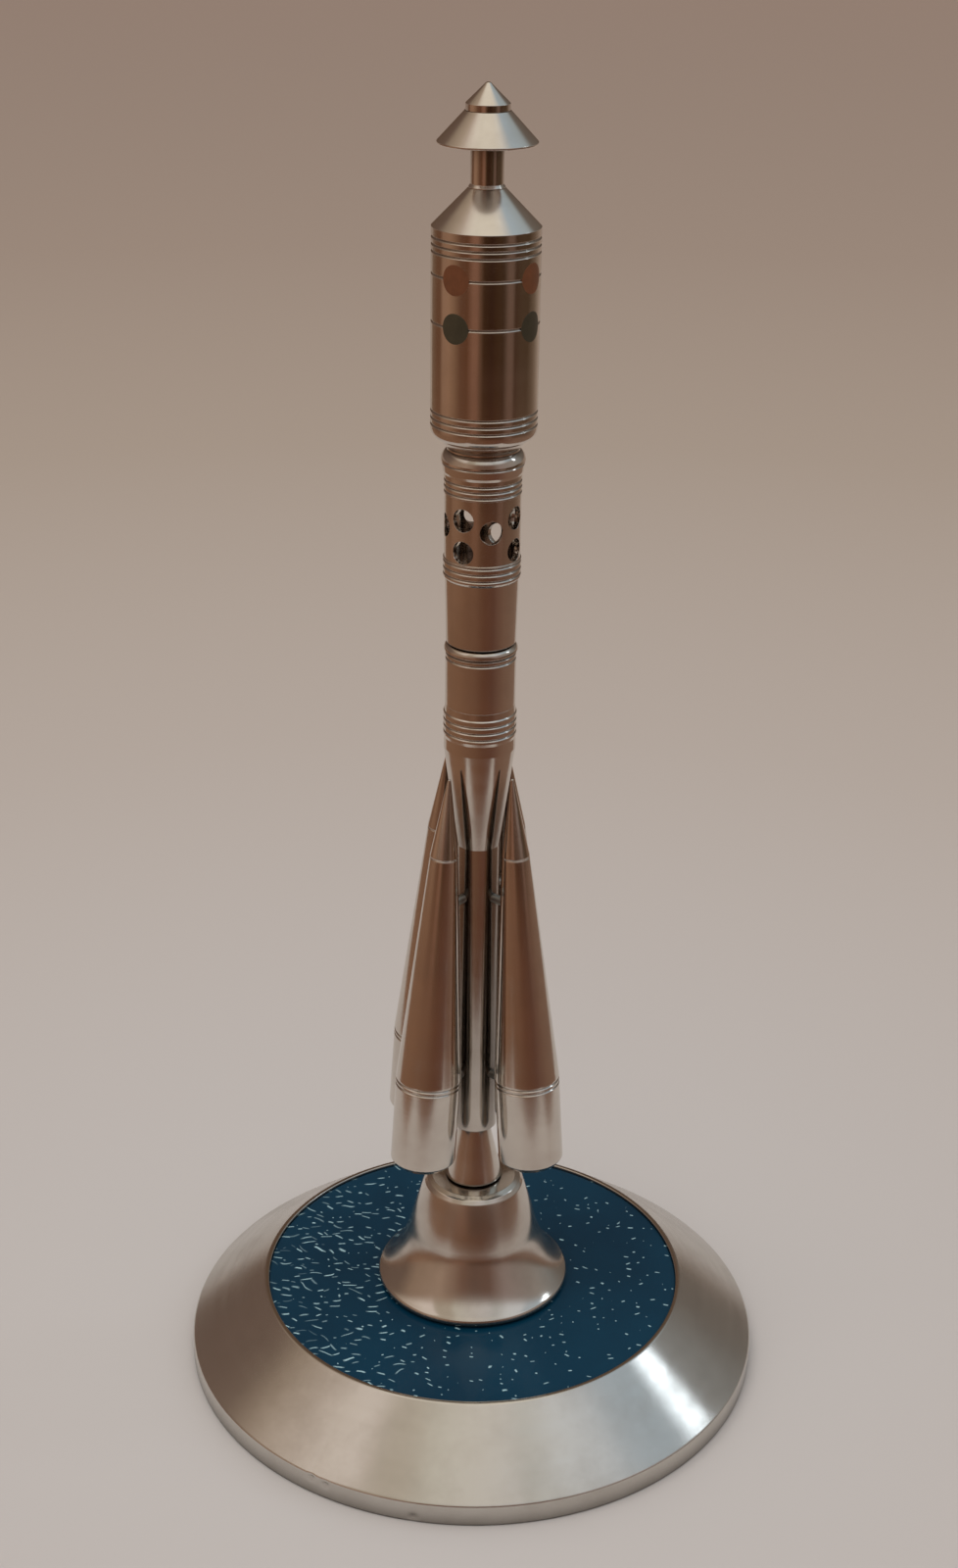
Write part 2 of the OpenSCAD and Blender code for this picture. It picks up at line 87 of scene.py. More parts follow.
def add(tree, kind, settings, inputs):
    """Adds one node. settings are its properties; an input is a value, a node or an output."""
    node = tree.nodes.new(kind)
    for name, value in settings.items():
        setattr(node, name, value)
    for name, value in inputs.items():
        if isinstance(value, bpy.types.Node):
            value = value.outputs[0]
        if isinstance(value, bpy.types.NodeSocket):
            tree.links.new(value, node.inputs[name])
        else:
            node.inputs[name].default_value = value
    return node


def stops(ramp, marks):
    """Sets a colour ramp's marks, a list of (position, hex colour), and returns the ramp."""
    elements = ramp.color_ramp.elements
    while len(elements) < len(marks):
        elements.new(0.5)
    for element, (place, colour) in zip(elements, marks):
        element.position = place
        element.color = linear(colour)
    return ramp


def round_the_rocket(tree, split):
    """The azimuth of a split direction as a share of a turn: 0 behind, then left, front, right."""
    forward = add(tree, "ShaderNodeMath", {"operation": "MULTIPLY"},
                  {0: split.outputs["Y"], 1: -1.0})
    azimuth = add(tree, "ShaderNodeMath", {"operation": "ARCTAN2"},
                  {0: split.outputs["X"], 1: forward})
    return add(tree, "ShaderNodeMapRange", {},
               {"Value": azimuth, "From Min": -math.pi, "From Max": math.pi})


def new_material(name):
    """A material with an empty node tree, and the tree."""
    material = bpy.data.materials.new(name)
    material.use_nodes = True
    material.node_tree.nodes.clear()
    return material, material.node_tree


def flat_piece(name, corners, material):
    """One flat stage panel from its corner points in metres, taken counterclockwise."""
    mesh = bpy.data.meshes.new(name)
    mesh.from_pydata(corners, [], [list(range(len(corners)))])
    mesh.materials.append(material)
    panel = bpy.data.objects.new(name, mesh)
    bpy.context.scene.collection.objects.link(panel)
    return panel


# Matt white paper, slightly pink, with painted light falloff: its colour darkens to a browner shade away
# from the rocket
paper, tree = new_material("matt white paper")
place = add(tree, "ShaderNodeTexCoord", {}, {})
away = add(tree, "ShaderNodeVectorMath", {"operation": "LENGTH"}, {0: place.outputs["Object"]})
reach = add(tree, "ShaderNodeMapRange", {},
            {"Value": away.outputs["Value"], "From Min": 0.0, "From Max": 3.2})
tone = stops(add(tree, "ShaderNodeValToRGB", {}, {"Fac": reach.outputs["Result"]}),
             [(0.0, "#d6d6d8"), (0.044, "#cfcccc"), (0.112, "#c7bfba"), (0.236, "#beb1a6"),
              (0.4, "#baa99d"), (1.0, "#bea89b")])
paper_shader = add(tree, "ShaderNodeBsdfPrincipled", {},
                   {"Base Color": tone.outputs["Color"], "Roughness": 0.9,
                    "Specular IOR Level": 0.1})
add(tree, "ShaderNodeOutputMaterial", {}, {"Surface": paper_shader})
table_reach = 6.0
flat_piece("table", [(-table_reach, -table_reach, 0), (table_reach, -table_reach, 0),
                     (table_reach, table_reach, 0), (-table_reach, table_reach, 0)], paper)

# The brown floor beyond the paper's front edge, with the dark and light stripes of the room.
# Its tones run round the rocket by azimuth, from behind (0) by the left, the front and the right.
# Near the paper it is an even brown; the stripes of the room start half a metre out.
brown_room, tree = new_material("brown room beyond the paper")
place = add(tree, "ShaderNodeTexCoord", {}, {})
split = add(tree, "ShaderNodeSeparateXYZ", {}, {"Vector": place.outputs["Object"]})
turn = round_the_rocket(tree, split)
stripes = stops(add(tree, "ShaderNodeValToRGB", {}, {"Fac": turn.outputs["Result"]}),
                [(0.0, "#8d7a6a"), (0.08, "#7c6552"), (0.155, "#6d4c38"), (0.19, "#6d4c38"),
                 (0.215, "#987660"), (0.265, "#9c7860"), (0.308, "#86654e"), (0.345, "#684633"),
                 (0.386, "#643f2a"), (0.42, "#8a624e"), (0.445, "#8a624e"), (0.46, "#6d4e3c"),
                 (0.485, "#3b2513"), (0.53, "#321c10"), (0.565, "#402a18"), (0.6, "#412e1e"),
                 (0.63, "#6f574a"), (0.655, "#6f574a"), (0.675, "#452f20"), (0.72, "#4d3a2a"),
                 (0.77, "#4c3928"), (0.83, "#705d4d"), (0.93, "#b19e8f"), (1.0, "#8d7a6a")])
near_floor = stops(add(tree, "ShaderNodeValToRGB", {}, {"Fac": turn.outputs["Result"]}),
                   [(0.0, "#8a6a54"), (0.3, "#84614b"), (0.45, "#765440"), (0.52, "#6c4836"),
                    (0.6, "#684638"), (0.7, "#7d6050"), (1.0, "#8a7364")])
away = add(tree, "ShaderNodeVectorMath", {"operation": "LENGTH"}, {0: place.outputs["Object"]})
far = add(tree, "ShaderNodeMapRange", {},
          {"Value": away.outputs["Value"], "From Min": 0.45, "From Max": 0.95})
floor_tone = add(tree, "ShaderNodeMix", {"data_type": "RGBA"},
                 {"Factor": far, 6: near_floor.outputs["Color"], 7: stripes.outputs["Color"]})
glow = add(tree, "ShaderNodeEmission", {},
           {"Color": floor_tone.outputs["Result"], "Strength": 1.0})
add(tree, "ShaderNodeOutputMaterial", {}, {"Surface": glow})
paper_front = -0.158
paper_side = 0.155
paper_back = 1.1
paper_waist = -0.07
paper_middle_side, paper_middle = 0.27, 0.38
paper_back_side = 0.6
lift = 0.0005
card_reach = 5.0
cards = {
    "front_card": [(-card_reach, -card_reach), (card_reach, -card_reach),
                   (card_reach, paper_front), (-card_reach, paper_front)],
    "left_card": [(-card_reach, paper_front), (-paper_side, paper_front),
                  (-paper_side, paper_waist), (-paper_middle_side, paper_middle),
                  (-paper_back_side, paper_back), (-card_reach, paper_back)],
    "right_card": [(paper_side, paper_front), (card_reach, paper_front),
                   (card_reach, paper_back), (paper_back_side, paper_back),
                   (paper_middle_side, paper_middle), (paper_side, paper_waist)],
}
for name, corners in cards.items():
    card = flat_piece(name, [(x, y, lift) for x, y in corners], brown_room)
    card.visible_camera = False
    card.visible_diffuse = False
    card.visible_shadow = False

# The room: an even soft white for everything matt. Mirrors see brown walls, which give way to a
# pale ceiling between 27 and 41 degrees up, warm to the left and bluish to the window's side.
# Both tones run round by azimuth, from behind (0) by the left, the front and the right to behind.
world = bpy.data.worlds.new("soft white room")
bpy.context.scene.world = world
world.use_nodes = True
tree = world.node_tree
tree.nodes.clear()
facing = add(tree, "ShaderNodeTexCoord", {}, {})
split = add(tree, "ShaderNodeSeparateXYZ", {}, {"Vector": facing.outputs["Generated"]})
turn = round_the_rocket(tree, split)
walls = stops(add(tree, "ShaderNodeValToRGB", {}, {"Fac": turn.outputs["Result"]}),
              [(0.0, "#5a4636"), (0.13, "#735f54"), (0.2, "#7a665a"), (0.25, "#9a8270"),
               (0.36, "#aa917f"), (0.45, "#7d5f50"), (0.5, "#6f564a"), (0.56, "#74594d"),
               (0.62, "#96857f"), (0.75, "#9a928c"), (0.82, "#8d8c8a"), (0.86, "#776f68"),
               (1.0, "#5a4636")])
ceiling = stops(add(tree, "ShaderNodeValToRGB", {}, {"Fac": turn.outputs["Result"]}),
                [(0.0, "#5f4a3b"), (0.07, "#6b5848"), (0.2, "#b7a593"), (0.26, "#dacbbf"), (0.3, "#e8dcd2"),
                 (0.335, "#ebded6"), (0.35, "#bcb0a0"), (0.405, "#beb2a3"), (0.425, "#d1ccc0"),
                 (0.5, "#d6d1cc"), (0.56, "#d5d3d3"), (0.585, "#c6c8c6"), (0.61, "#d3d4d4"),
                 (0.63, "#dde0e3"), (0.69, "#dce0e5"), (0.705, "#bdc6ce"), (0.76, "#b7c7d3"),
                 (0.85, "#a9b4b9"), (0.94, "#6b5848"), (1.0, "#5f4a3b")])
overhead = add(tree, "ShaderNodeMapRange", {},
               {"Value": split.outputs["Z"], "From Min": 0.86, "From Max": 0.97})
ceiling_middle = add(tree, "ShaderNodeMix", {"data_type": "RGBA"},
                     {"Factor": overhead, 6: ceiling.outputs["Color"], 7: linear("#f2eadc")})
above_walls = add(tree, "ShaderNodeMapRange", {"interpolation_type": "SMOOTHSTEP"},
                  {"Value": split.outputs["Z"], "From Min": 0.45, "From Max": 0.66})
seen = add(tree, "ShaderNodeMix", {"data_type": "RGBA"},
           {"Factor": above_walls, 6: walls.outputs["Color"],
            7: ceiling_middle.outputs["Result"]})
room_ray = add(tree, "ShaderNodeLightPath", {}, {})
soft_white = add(tree, "ShaderNodeBackground", {}, {"Color": linear("#fdf6f0"), "Strength": 0.55})
mirrored = add(tree, "ShaderNodeBackground", {},
               {"Color": seen.outputs["Result"], "Strength": 1.0})
mix = add(tree, "ShaderNodeMixShader", {},
          {"Fac": room_ray.outputs["Is Glossy Ray"], 1: soft_white, 2: mirrored})
add(tree, "ShaderNodeOutputWorld", {}, {"Surface": mix})


def area_light(name, at, size, watts, colour, in_mirrors):
    """A rectangular soft light at a point in metres that faces the middle of the rocket."""
    data = bpy.data.lights.new(name, "AREA")
    data.shape = "RECTANGLE"
    data.size, data.size_y = size
    data.energy = watts
    data.color = linear(colour)[:3]
    lamp = bpy.data.objects.new(name, data)
    middle = Vector((0, 0, 0.12))
    lamp.matrix_world = (Matrix.Translation(at)
                         @ (middle - Vector(at)).to_track_quat("-Z", "Y").to_matrix().to_4x4())
    lamp.visible_glossy = in_mirrors
    bpy.context.scene.collection.objects.link(lamp)


area_light("ceiling_light", (-0.3, -0.3, 1.6), (1.4, 1.4), 9, "#fff3e6", False)
area_light("window", (1.37, 0.24, 0.98), (0.2, 0.36), 0.7, "#e4f2ff", True)


# ---- Base ------------------------------------------------------------------------------------
# A turned aluminium plate with an upright rim, a long bevel and a thin lip around the inlay.
# It is satin, brushed round on the lathe, and its rim has a few knocks from handling.

def span(node):
    """Outer radius, lowest and highest point of a CAD node, in mm."""
    low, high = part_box(node)
    return (high.x - low.x) * 500, low.z * 1000, high.z * 1000


def eased(outline, reach, steps=4, closed=False):
    """Softens each corner of an outline: a quadratic curve leaves and meets the two sides at
    reach mm from the corner. One more point on each side keeps the long faces' shading flat."""
    p = np.array(outline, float)
    before = np.roll(p, 1, axis=0)
    after = np.roll(p, -1, axis=0)
    to_before, to_after = before - p, after - p
    len_before = np.linalg.norm(to_before, axis=1, keepdims=True)
    len_after = np.linalg.norm(to_after, axis=1, keepdims=True)
    cut = np.minimum(reach, 0.3 * np.minimum(len_before, len_after))
    start = p + to_before / np.maximum(len_before, 1e-9) * cut
    end = p + to_after / np.maximum(len_after, 1e-9) * cut
    t = np.linspace(0, 1, steps)[None, :, None]
    bend = start[:, None] * (1 - t) ** 2 + p[:, None] * 2 * t * (1 - t) + end[:, None] * t ** 2
    hold_before = (p + to_before / np.maximum(len_before, 1e-9) * cut * 1.5)[:, None]
    hold_after = (p + to_after / np.maximum(len_after, 1e-9) * cut * 1.5)[:, None]
    corners = np.concatenate([hold_before, bend, hold_after], axis=1)
    if closed:
        return corners.reshape(-1, 2)
    return np.concatenate([p[:1], corners[1:-1].reshape(-1, 2), p[-1:]])


def finished(name, mesh, material, body, nodes):
    """Links a mesh as a smooth piece with its material and body, and hides the nodes it stands for."""
    mesh.materials.append(material)
    mesh.shade_smooth()
    piece = bpy.data.objects.new(name, mesh)
    bpy.context.scene.collection.objects.link(piece)
    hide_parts(*nodes)
    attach(piece, body)
    return piece


def lathe(name, outline, around=160, place=None, closed=False):
    """Surface of revolution in mm: point (i, j) is (r_i cos a_j, r_i sin a_j, h_i), then place
    moves the points. An open outline starts and ends on the axis, and poles close it; a closed
    one is the section of a ring. The UV map is (turn, mm along the outline / 100)."""
    r, h = np.asarray(outline, float).T
    length = np.concatenate([[0], np.cumsum(np.hypot(np.diff(r), np.diff(h)))]) / 100
    if not closed:
        pole_h, pole_v = (h[0], h[-1]), (length[0], length[-1])
        r, h, length = r[1:-1], h[1:-1], length[1:-1]
    rows = len(r)
    a = np.linspace(0, 2 * np.pi, around, endpoint=False)
    grid = np.stack([np.outer(r, np.cos(a)), np.outer(r, np.sin(a)),
                     np.repeat(h[:, None], around, 1)], axis=-1).reshape(-1, 3)
    i, j = np.meshgrid(np.arange(rows if closed else rows - 1), np.arange(around), indexing="ij")
    i, j = i.ravel(), j.ravel()
    up, next_j = (i + 1) % rows, (j + 1) % around
    quads = np.stack([i * around + j, i * around + next_j, up * around + next_j,
                      up * around + j], axis=1)
    u0, u1 = j / around, (j + 1) / around
    v1 = np.where(i + 1 < rows, length[up], length[-1] + np.hypot(r[0] - r[-1], h[0] - h[-1]) / 100)
    uv = np.stack([u0, length[i], u1, length[i], u1, v1, u0, v1], axis=1).reshape(-1, 2)
    faces = quads.tolist()
    if not closed:
        k = np.arange(around)
        k1 = (k + 1) % around
        low, high = len(grid), len(grid) + 1
        grid = np.concatenate([grid, [[0, 0, pole_h[0]], [0, 0, pole_h[1]]]])
        top = (rows - 1) * around
        faces += np.stack([k1, k, np.full(around, low)], axis=1).tolist()
        faces += np.stack([top + k, top + k1, np.full(around, high)], axis=1).tolist()
        u, un, um = k / around, (k + 1) / around, (k + 0.5) / around
        v_low, v_high = np.full(around, length[0]), np.full(around, length[-1])
        uv = np.concatenate([
            uv,
            np.stack([un, v_low, u, v_low, um, np.full(around, pole_v[0])], 1).reshape(-1, 2),
            np.stack([u, v_high, un, v_high, um, np.full(around, pole_v[1])], 1).reshape(-1, 2)])
    if place is not None:
        grid = place(grid)
    mesh = bpy.data.meshes.new(name)
    mesh.from_pydata(grid / 1000, [], faces)
    layer = mesh.uv_layers.new(name="turned")
    layer.data.foreach_set("uv", uv.astype(np.float32).ravel())
    mesh.validate()
    return mesh


def turned_metal(name, colour, roughness, stretch, ring_mm, ring_height_mm, stain, stain_amount,
                 corner_mm=7.0):
    """Bare metal as it leaves the lathe: fine rings of tool marks every ring_mm, which also vary
    the gloss, highlights stretched across them, a faint cloudy tarnish, and painted shade: the
    colour is darkened to dark brown in corners narrower than corner_mm."""
    material, tree = new_material(name)
    uv = add(tree, "ShaderNodeUVMap", {"uv_map": "turned"}, {})
    place = add(tree, "ShaderNodeTexCoord", {}, {})
    # One unit of v is 100 mm, so this many noise cells give a ring every ring_mm
    across = add(tree, "ShaderNodeMapping", {},
                 {"Vector": uv, "Scale": (3.0, 100 / ring_mm, 1.0)})
    rings = add(tree, "ShaderNodeTexNoise", {"noise_dimensions": "2D"},
                {"Vector": across, "Scale": 1.0, "Detail": 3.0, "Roughness": 0.6})
    bands = add(tree, "ShaderNodeMapping", {},
                {"Vector": uv, "Scale": (2.0, 100 / (ring_mm * 9), 1.0)})
    gloss = add(tree, "ShaderNodeTexNoise", {"noise_dimensions": "2D"},
                {"Vector": bands, "Scale": 1.0, "Detail": 2.0})
    cloud = add(tree, "ShaderNodeTexNoise", {},
                {"Vector": place.outputs["Object"], "Scale": 90.0, "Detail": 5.0,
                 "Roughness": 0.62})
    cloudy = add(tree, "ShaderNodeMapRange", {},
                 {"Value": cloud, "From Min": 0.42, "From Max": 0.78, "To Max": stain_amount})
    colour_mix = add(tree, "ShaderNodeMix", {"data_type": "RGBA"},
                     {"Factor": cloudy, 6: linear(colour), 7: linear(stain)})
    # Painted shade: ambient occlusion darkens the colour to dark brown in corners and gaps
    corner_occlusion = add(tree, "ShaderNodeAmbientOcclusion", {"samples": 6},
                      {"Distance": corner_mm / 1000})
    # The mask for the painted shade: full colour where open, dark brown where other surfaces are near
    polished = add(tree, "ShaderNodeMapRange", {},
                   {"Value": corner_occlusion.outputs["AO"], "From Min": 0.25, "From Max": 0.85})
    shade_painted_colour = add(tree, "ShaderNodeMix", {"data_type": "RGBA"},
                 {"Factor": polished, 6: linear("#3a2f27"), 7: colour_mix.outputs["Result"]})
    rough = add(tree, "ShaderNodeMapRange", {},
                {"Value": gloss, "From Min": 0.3, "From Max": 0.7,
                 "To Min": roughness * 0.9, "To Max": roughness * 1.12})
    rougher = add(tree, "ShaderNodeMath", {"operation": "MULTIPLY_ADD"},
                  {0: cloudy, 1: 0.25, 2: rough})
    bump = add(tree, "ShaderNodeBump", {},
               {"Height": rings, "Strength": 1.0, "Distance": ring_height_mm / 1000})
    tangent = add(tree, "ShaderNodeTangent", {"direction_type": "UV_MAP", "uv_map": "turned"}, {})
    shader = add(tree, "ShaderNodeBsdfPrincipled", {},
                 {"Base Color": shade_painted_colour.outputs["Result"], "Metallic": 1.0,
                  "Roughness": rougher, "Anisotropic": stretch, "Anisotropic Rotation": 0.25,
                  "Normal": bump, "Tangent": tangent})
    add(tree, "ShaderNodeOutputMaterial", {}, {"Surface": shader})
    return material


rim_r, _, base_top = span("base_plate")
recess_r, disc_floor, disc_top = span("blue_disc")
felt_r, _, felt_top = span("felt_pad")
washer_r, _, pocket_top = span("base_washer")
rim_top = 5.0
lip_width = 0.9
screw_hole_r = 3.3
pocket_r = washer_r + 1.5
fit = 0.03
bevel_soft = 0.4

base_outline = [
    (screw_hole_r, pocket_top), (pocket_r, pocket_top), (pocket_r, felt_top),
    (felt_r + fit, felt_top), (felt_r + fit, 0), (rim_r, 0), (rim_r, rim_top),
    (recess_r + fit + lip_width, base_top), (recess_r + fit, base_top),
    (recess_r + fit, disc_floor), (screw_hole_r, disc_floor)]
satin = turned_metal("brushed cast aluminium", "#d3cfc8", 0.18, 0.8, 0.35, 0.003, "#8a7f72", 0.2)

# Knocks on the rim: (azimuth from the front in degrees, height in mm, radius in mm, depth in mm)
knocks = np.array([(-34.4, 4.1, 0.75, 0.5), (-31.2, 3.7, 0.7, 0.5), (-13.5, 1.3, 0.8, 0.45)])


def knocked(p):
    """Pushes the rim in by a bell curve around each knock: depth x exp(-(distance/radius)^2)."""
    a = np.degrees(np.arctan2(p[:, 0], -p[:, 1]))
    r = np.hypot(p[:, 0], p[:, 1])
    side = np.radians(a[:, None] - knocks[:, 0]) * rim_r
    off = np.hypot(side, p[:, 2:3] - knocks[:, 1])
    push = (knocks[:, 3] * np.exp(-(off / knocks[:, 2]) ** 2)).sum(1) * (r > rim_r - 2)
    p[:, :2] *= (1 - push / np.maximum(r, 1e-6))[:, None]
    return p


base_section = eased(base_outline, bevel_soft, closed=True)
rim_steps = 9
rim_rows = np.linspace(bevel_soft * 2, rim_top - bevel_soft * 2, rim_steps)
where = int(np.argmax((base_section[:, 0] > rim_r - 1e-6) & (base_section[:, 1] > rim_top / 2)))
base_section = np.insert(base_section, where,
                         np.stack([np.full(rim_steps, rim_r), rim_rows], 1), axis=0)
finished("base_plate_turned", lathe("base_plate_turned", base_section, 900, knocked, True),
         satin, "stand", ["base_plate"])


# ---- Blue inlay ------------------------------------------------------------------------------
# A disc of pearl plastic let into the base. Clear gloss lies over a deep blue film with short
# crinkles that catch the light as pale dashes, more of them to the left.

pearl, tree = new_material("blue pearl acrylic")
place = add(tree, "ShaderNodeTexCoord", {}, {})
wander = add(tree, "ShaderNodeTexNoise", {}, {"Vector": place.outputs["Object"], "Scale": 160.0,
                                             "Detail": 1.0})
# One crinkle to a 2.4 mm cell, at its own slant and length; noise bends it by up to 1 mm
bent = add(tree, "ShaderNodeVectorMath", {"operation": "MULTIPLY_ADD"},
           {0: wander.outputs["Color"], 1: (0.003, 0.004, 0.0), 2: place.outputs["Object"]})
cells = add(tree, "ShaderNodeMapping", {}, {"Vector": bent, "Scale": (417.0, 417.0, 0.0)})
scatter = add(tree, "ShaderNodeTexVoronoi", {"voronoi_dimensions": "2D"},
              {"Vector": cells, "Scale": 1.0, "Randomness": 0.9})
from_middle = add(tree, "ShaderNodeVectorMath", {"operation": "SUBTRACT"},
                  {0: cells, 1: scatter.outputs["Position"]})
lot = add(tree, "ShaderNodeSeparateColor", {}, {"Color": scatter.outputs["Color"]})
slant = add(tree, "ShaderNodeMapRange", {}, {"Value": lot.outputs["Blue"],
                                            "To Min": -0.5, "To Max": 0.9})
laid = add(tree, "ShaderNodeVectorRotate", {"rotation_type": "Z_AXIS"},
           {"Vector": from_middle, "Angle": slant})
offset = add(tree, "ShaderNodeSeparateXYZ", {}, {"Vector": laid})
along = add(tree, "ShaderNodeMath", {"operation": "ABSOLUTE"}, {0: offset.outputs["X"]})
over = add(tree, "ShaderNodeMath", {"operation": "ABSOLUTE"}, {0: offset.outputs["Y"]})
side = add(tree, "ShaderNodeSeparateXYZ", {}, {"Vector": place.outputs["Object"]})
# Long and close together on the left, short and few on the right
longest = add(tree, "ShaderNodeMapRange", {},
              {"Value": side.outputs["X"], "From Min": -0.03, "From Max": -0.008,
               "To Min": 0.9, "To Max": 0.3})
half_long = add(tree, "ShaderNodeMath", {"operation": "MULTIPLY"},
                {0: longest, 1: lot.outputs["Green"]})
taper = add(tree, "ShaderNodeMath", {"operation": "MULTIPLY"}, {0: half_long, 1: 0.5})
end = add(tree, "ShaderNodeMapRange", {},
          {"Value": along, "From Min": half_long, "From Max": taper})
edge = add(tree, "ShaderNodeMapRange", {}, {"Value": over, "From Min": 0.1, "From Max": 0.03})
dash = add(tree, "ShaderNodeMath", {"operation": "MULTIPLY"}, {0: end, 1: edge})
needed = add(tree, "ShaderNodeMapRange", {},
             {"Value": side.outputs["X"], "From Min": -0.036, "From Max": -0.008,
              "To Min": 0.12, "To Max": 0.62})
chosen = add(tree, "ShaderNodeMath", {"operation": "GREATER_THAN"},
             {0: lot.outputs["Red"], 1: needed})
strength = add(tree, "ShaderNodeMath", {"operation": "MULTIPLY"},
               {0: chosen, 1: lot.outputs["Red"]})
shown = add(tree, "ShaderNodeMath", {"operation": "MULTIPLY"}, {0: dash, 1: strength})
depths = add(tree, "ShaderNodeTexNoise", {}, {"Vector": place.outputs["Object"], "Scale": 35.0,
                                             "Detail": 3.0})
film = stops(add(tree, "ShaderNodeValToRGB", {}, {"Fac": depths}),
             [(0.3, "#05324a"), (0.7, "#093e58")])
blue = add(tree, "ShaderNodeMix", {"data_type": "RGBA"},
           {"Factor": shown, 6: film.outputs["Color"], 7: linear("#b9e4f2")})
pearl_shader = add(tree, "ShaderNodeBsdfPrincipled", {},
                   {"Base Color": blue.outputs["Result"], "Roughness": 0.32,
                    "Coat Weight": 0.15, "Coat Roughness": 0.1,
                    "Specular IOR Level": 0.25})
add(tree, "ShaderNodeOutputMaterial", {}, {"Surface": pearl_shader})

disc_edge = 0.2
disc_outline = [(screw_hole_r, disc_floor), (recess_r, disc_floor), (recess_r, disc_top),
                (screw_hole_r, disc_top)]
finished("blue_inlay", lathe("blue_inlay", eased(disc_outline, disc_edge, closed=True), 320,
                             closed=True),
         pearl, "stand", ["blue_disc"])


# ---- Pedestal --------------------------------------------------------------------------------
# A bell turned from bar: a rounded foot sweeps in to a waist and closes over to a flat top.
# It is rubbed down with fine cloth, so it is a little duller than the rocket above.

def arc(cr, ch, radius, start, stop, steps=10):
    """Points of an arc about (cr, ch), from angle start to angle stop in degrees."""
    t = np.radians(np.linspace(start, stop, steps))
    return np.stack([cr + radius * np.cos(t), ch + radius * np.sin(t)], 1).tolist()


def curve(p, q, r, s, steps=24):
    """Cubic curve that leaves p towards q and reaches s from r."""
    t = np.linspace(0, 1, steps)[:, None]
    p, q, r, s = (np.array(point, float) for point in (p, q, r, s))
    return (p * (1 - t) ** 3 + q * 3 * t * (1 - t) ** 2 + r * 3 * t * t * (1 - t)
            + s * t ** 3).tolist()


foot_r, foot_z, bell_top = span("pedestal")
stud_r = span("tail_stud")[0] + 0.06
stud_hold = 8.05
screw_r, _, screw_top = span("base_screw")
shank_r = 3.03
foot_edge = 1.2
edge_r, edge_z = foot_r - foot_edge, foot_z + foot_edge
flare_turn = math.radians(52)
flare_reach = 3.6
waist_r = 14.4
waist_z = foot_z + (bell_top - foot_z) * 0.53
crown_r = 9.5
flare_foot = np.array([edge_r + foot_edge * math.cos(flare_turn),
                       edge_z + foot_edge * math.sin(flare_turn)])
flare_way = np.array([-math.sin(flare_turn), math.cos(flare_turn)])
pedestal_outline = [
    (0, screw_top), (shank_r, screw_top), (shank_r, foot_z), (edge_r, foot_z),
    *arc(edge_r, edge_z, foot_edge, -70, 44, 14),
    *curve(flare_foot, flare_foot + flare_reach * flare_way, (waist_r + 1, waist_z - 4.3),
           (waist_r + 0.12, waist_z - 0.5)),
    *curve((waist_r, waist_z), (waist_r - 1, waist_z + 4.4), (crown_r + 2.7, bell_top - 4.4),
           (crown_r + 1.7, bell_top - 1.4)),
    (crown_r + 1, bell_top - 0.5), (crown_r + 0.1, bell_top - 0.1), (crown_r - 0.1, bell_top),
    (stud_r, bell_top), (stud_r, bell_top - stud_hold), (0, bell_top - stud_hold)]
rubbed = turned_metal("rubbed aluminium", "#d2cbc2", 0.14, 0.5, 0.4, 0.002, "#8d8072", 0.25)
finished("pedestal_turned", lathe("pedestal_turned", eased(pedestal_outline, 0.15), 240),
         rubbed, "stand", ["pedestal"])


# ---- Tail cone and core ----------------------------------------------------------------------
# The tail cone flares down to the pedestal. The core is one long turned bar: slim between the
# boosters, widening in a cone, with a proud band of three V grooves. Both are polished bright.

groove = 0.55
groove_depth = 0.28
soft = 0.05
ease = 0.4


def vee(r, z):
    """V groove in a wall of radius r, middle at height z."""
    return [(r, z - groove / 2), (r - groove_depth, z), (r, z + groove / 2)]


def vees(r, z, count, pitch):
    """count V grooves, pitch mm apart, the lowest at height z."""
    return [point for i in range(count) for point in vee(r, z + i * pitch)]


bright = turned_metal("polished turned aluminium", "#d8d1c8", 0.12, 0.6, 0.5, 0.0015, "#8f7d6c",
                      0.22)


def bright_stage(name, outline, body, nodes, around=192, place=None, closed=False):
    """A polished stage turned from its outline."""
    mesh = lathe(name, eased(outline, soft, closed=closed), around, place, closed)
    return finished(name, mesh, bright, body, nodes)


tail_foot_r, tail_z, core_z = span("tail_cone")
neck_r = 3.4
tail_h = core_z - tail_z
bright_stage("tail_cone_turned", [
    (stud_r, tail_z), (tail_foot_r - ease, tail_z), (tail_foot_r, tail_z + ease),
    *curve((tail_foot_r, tail_z + 0.8), (tail_foot_r - 0.9, tail_z + tail_h * 0.35),
           (neck_r + 0.8, tail_z + tail_h * 0.7), (neck_r, core_z)),
    (stud_r, core_z)], "rocket", ["tail_cone"], closed=True)

core_low_r = 4.9
core_slim_r = 4.6
core_r = 7.5
band_r = core_r + 0.13
core_cone_z = core_z + 70
core_wide_z = core_cone_z + 22.6
core_groove_z = core_wide_z + 3.85
core_pitch = 1.42
band_top = core_groove_z + 2 * core_pitch + 1.25
core_top = span("core_stage")[2]
inter_r = 7.3
bright_stage("core_turned", [
    (0, core_z + stud_hold), (stud_r, core_z + stud_hold), (stud_r, core_z),
    (core_low_r - ease, core_z), (core_low_r, core_z + ease), (core_slim_r, core_cone_z),
    (core_r, core_wide_z), (core_r, core_groove_z - core_pitch),
    (band_r, core_groove_z - core_pitch / 2), *vees(band_r, core_groove_z, 3, core_pitch),
    (band_r, band_top), (band_r - 0.25, band_top + 0.25), (inter_r, core_top),
    (stud_r, core_top), (stud_r, core_top - stud_hold), (0, core_top - stud_hold)],
    "rocket", ["core_stage"])


